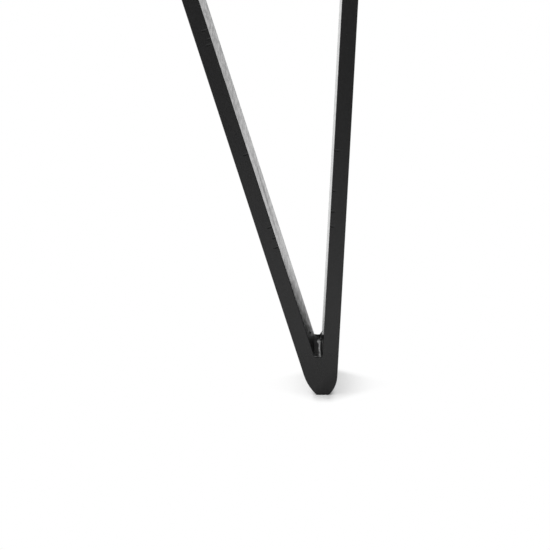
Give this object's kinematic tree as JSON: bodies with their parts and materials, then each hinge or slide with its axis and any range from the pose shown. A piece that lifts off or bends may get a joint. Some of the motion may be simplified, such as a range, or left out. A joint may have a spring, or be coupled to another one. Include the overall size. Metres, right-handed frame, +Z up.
{
  "type": "table leg",
  "caption": "V-shaped table leg folded from flat steel bar, with a weld-filled crotch, a rounded foot and a screw plate that fixes it under a table top.",
  "frame": {"origin": "middle of the mounting plate's top face, which is also the middle of the screw pattern", "axes": "+Z up, out of the mounting face; the V lies in the XZ plane, its leaning arm on the -X side; +Y across the bar"},
  "size_m": [0.1902, 0.09, 0.4],
  "materials": {
    "black_powder_coat": "satin, with a fine orange-peel texture"
  },
  "bodies": {
    "root": {"folded_bar": "black_powder_coat", "crotch_weld": "black_powder_coat", "mounting_plate": "black_powder_coat", "plate_welds": "black_powder_coat"}
  },
  "joints": []
}
